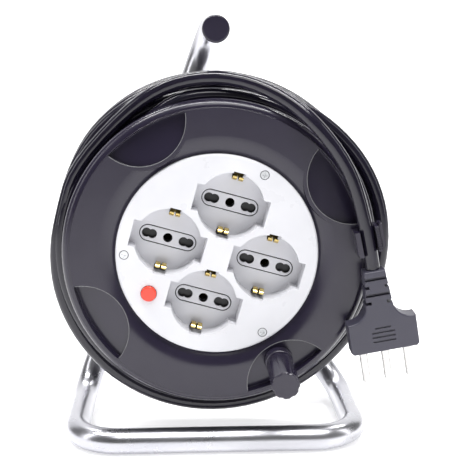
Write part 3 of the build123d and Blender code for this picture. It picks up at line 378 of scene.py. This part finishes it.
FINISHES = {
    "satin_steel": satin_steel(),
    "black_plastic": moulded("black_plastic", (0.014, 0.011, 0.024), 0.22),
    "white_plastic": moulded("white_plastic", (0.62, 0.62, 0.65), 0.30, 0.008 * MM),
    "zinc": turned_metal("zinc", (0.72, 0.73, 0.75), 0.34),
    "steel_insert": turned_metal("steel_insert", (0.5, 0.5, 0.51), 0.35),
    "nylon": moulded("nylon", (0.78, 0.76, 0.70), 0.38),
    # the inserts' grey turns to painted shade deeper than the recess floor, down the pin holes
    "grey_plastic": painted_shade_behind(
        moulded("grey_plastic", (0.60, 0.60, 0.63), 0.34, 0.01 * MM), RECESS_FLOOR_DEPTH
    ),
    "carrier_plastic": moulded("carrier_plastic", (0.36, 0.36, 0.38), 0.42),
    # nearly black, darker than the shutters' own dark grey: painted shade of the pin holes they sit behind
    "shutter_grey": moulded("shutter_grey", (0.012, 0.012, 0.014), 0.45),
    "brass": shaded_deep(turned_metal("brass", (0.86, 0.66, 0.26), 0.18)),
    "cutout_plastic": moulded("cutout_plastic", (0.03, 0.03, 0.03), 0.45),
    "red_plastic": moulded("red_plastic", (0.88, 0.055, 0.03), 0.26, 0.006 * MM),
    "brown_wire": moulded("brown_wire", (0.13, 0.055, 0.025), 0.32),
    "blue_wire": moulded("blue_wire", (0.03, 0.11, 0.42), 0.32),
    "earth_wire_green": moulded("earth_wire_green", (0.18, 0.42, 0.04), 0.32),
    "cable_black": cable_sheath(),
    "plug_black": moulded("plug_black", (0.040, 0.038, 0.056), 0.38, 0.03 * MM),
    "plug_face_grey": moulded("plug_face_grey", (0.035, 0.035, 0.045), 0.42),
    # lighter than the black flange: painted highlight along the scoops' edges
    "painted_highlight_edge": moulded("painted_highlight_edge", (0.13, 0.13, 0.14), 0.16, 0.002 * MM),
    "nickel": turned_metal("nickel", (0.62, 0.61, 0.60), 0.16),
}

for row in frame["record"]["subparts"]:
    node = frame["nodes"][row["node"]]
    node.data.materials.clear()
    node.data.materials.append(FINISHES[row["material_slot"]])
cable.data.materials.append(FINISHES["cable_black"])


# --- painted shade in the gaps round the panel screws and the reset button --------
def painted_shade_ring(name, place, inner, outer):
    """A flat dark ring at the bottom of a narrow gap in the socket panel: painted shade of the gap."""
    steps = 40
    corners = []
    for step in range(steps):
        for radius in (inner, outer):
            corners.append(place + on_circle(radius, 360 * step / steps))
    faces = []
    for step in range(steps):
        following = (step + 1) % steps
        faces.append((2 * step, 2 * step + 1, 2 * following + 1, 2 * following))
    data = bpy.data.meshes.new(name)
    data.from_pydata(corners, [], faces)
    ring = add_object(name, data)
    data.materials.append(FINISHES["cutout_plastic"])
    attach(ring, "drum")


for number, direction in enumerate(SCREW_DIRECTIONS, start=1):
    screw_seat = around(SCREW_CIRCLE, direction - DRUM_TURN, 1.15 * MM)
    painted_shade_ring(f"screw_gap_shade_{number}", screw_seat, 2.35 * MM, 2.85 * MM)
button_seat = around(BUTTON_CIRCLE, BUTTON_DIRECTION - DRUM_TURN, 0.95 * MM)
painted_shade_ring("button_gap_shade", button_seat, 4.45 * MM, 4.82 * MM)


# --- painted highlight lines along the scoops' edges --------------------------------
def scoop_edge_highlight(name, degrees):
    """The small round along a scoop's inner edge, painted a lighter grey than the flange so that it shows as a
    light line: a painted highlight.
    """
    middle = around(SCOOP_CIRCLE, degrees, 0.12 * MM)
    places = []
    for step in range(61):
        place = middle + on_circle(SCOOP_RADIUS, degrees + 90 + 3 * step)
        away = Vector((place.x - AXIS_X, 0, place.z - AXIS_Z)).length
        if away < SCOOP_OUTER_LIMIT:
            places.append(place)
    data = bpy.data.curves.new(name, "CURVE")
    data.dimensions = "3D"
    line = data.splines.new("POLY")
    line.points.add(len(places) - 1)
    for control, place in zip(line.points, places):
        control.co = (*place, 1)
        control.radius = 0.26 * MM
    data.bevel_depth = 1.0
    data.bevel_resolution = 3
    edge = add_object(name, data)
    data.materials.append(FINISHES["painted_highlight_edge"])
    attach(edge, "drum")


for number, direction in enumerate(SCOOP_DIRECTIONS, start=1):
    scoop_edge_highlight(f"scoop_edge_highlight_{number}", direction - DRUM_TURN)


# --- stage ---------------------------------------------------------------------
def backdrop_paper():
    """Pale paper, lit up from within, and more so towards the back."""
    material = finish_of("paper", (0.90, 0.90, 0.91), 0.65)
    nodes = material.node_tree.nodes
    links = material.node_tree.links
    shader = nodes["Principled BSDF"]
    shader.inputs["Emission Color"].default_value = (1, 1, 1, 1)
    place = nodes.new("ShaderNodeTexCoord")
    split = nodes.new("ShaderNodeSeparateXYZ")
    lift = nodes.new("ShaderNodeMapRange")
    lift.inputs["From Min"].default_value = 0.3
    lift.inputs["From Max"].default_value = 2.4
    lift.inputs["To Min"].default_value = 0.48
    lift.inputs["To Max"].default_value = 0.85
    links.new(place.outputs["Object"], split.inputs["Vector"])
    links.new(split.outputs["Y"], lift.inputs["Value"])
    links.new(lift.outputs["Result"], shader.inputs["Emission Strength"])
    return material


def make_stage():
    """A pale floor that sweeps up into a backdrop."""
    near_y = -3.0
    far_y = 2.2
    sweep = 1.2
    top = 4.0
    half_width = 5.0
    profile = [(near_y, 0.0), (far_y, 0.0)]
    steps = 16
    for step in range(1, steps + 1):
        turn = pi / 2 * step / steps
        profile.append((far_y + sweep * sin(turn), sweep * (1 - cos(turn))))
    profile.append((far_y + sweep, top))
    corners = []
    for y, z in profile:
        corners += [(-half_width, y, z), (half_width, y, z)]
    faces = [(2 * k, 2 * k + 1, 2 * k + 3, 2 * k + 2) for k in range(len(profile) - 1)]
    data = bpy.data.meshes.new("floor")
    data.from_pydata(corners, [], faces)
    data.shade_smooth()
    floor = add_object("floor", data)
    data.materials.append(backdrop_paper())


def softbox(name, place, width, height, power):
    """A rectangular studio light, aimed at the middle of the reel."""
    data = bpy.data.lights.new(name, "AREA")
    data.shape = "RECTANGLE"
    data.size = width
    data.size_y = height
    data.energy = power
    box = add_object(name, data)
    box.location = place
    box.rotation_euler = (MIDDLE - Vector(place)).to_track_quat("-Z", "Y").to_euler()


make_stage()
# metres and watts: place, width, height, power
softbox("strip_top", (-0.1, -0.30, 1.30), 1.6, 0.07, 20)
softbox("strip_back", (0.1, 0.55, 1.25), 1.6, 0.07, 14)
softbox("side_left", (-1.4, -0.4, 0.7), 0.22, 1.3, 5)
softbox("side_right", (1.4, -0.3, 0.7), 0.22, 1.3, 4)
softbox("front", (0.2, -1.3, 1.9), 1.2, 0.5, 12)
world = bpy.data.worlds.new("studio")
world.use_nodes = True
world.node_tree.nodes["Background"].inputs["Color"].default_value = (1, 1, 1, 1)
world.node_tree.nodes["Background"].inputs["Strength"].default_value = 0.14
scene.world = world
scene.view_settings.view_transform = "Standard"
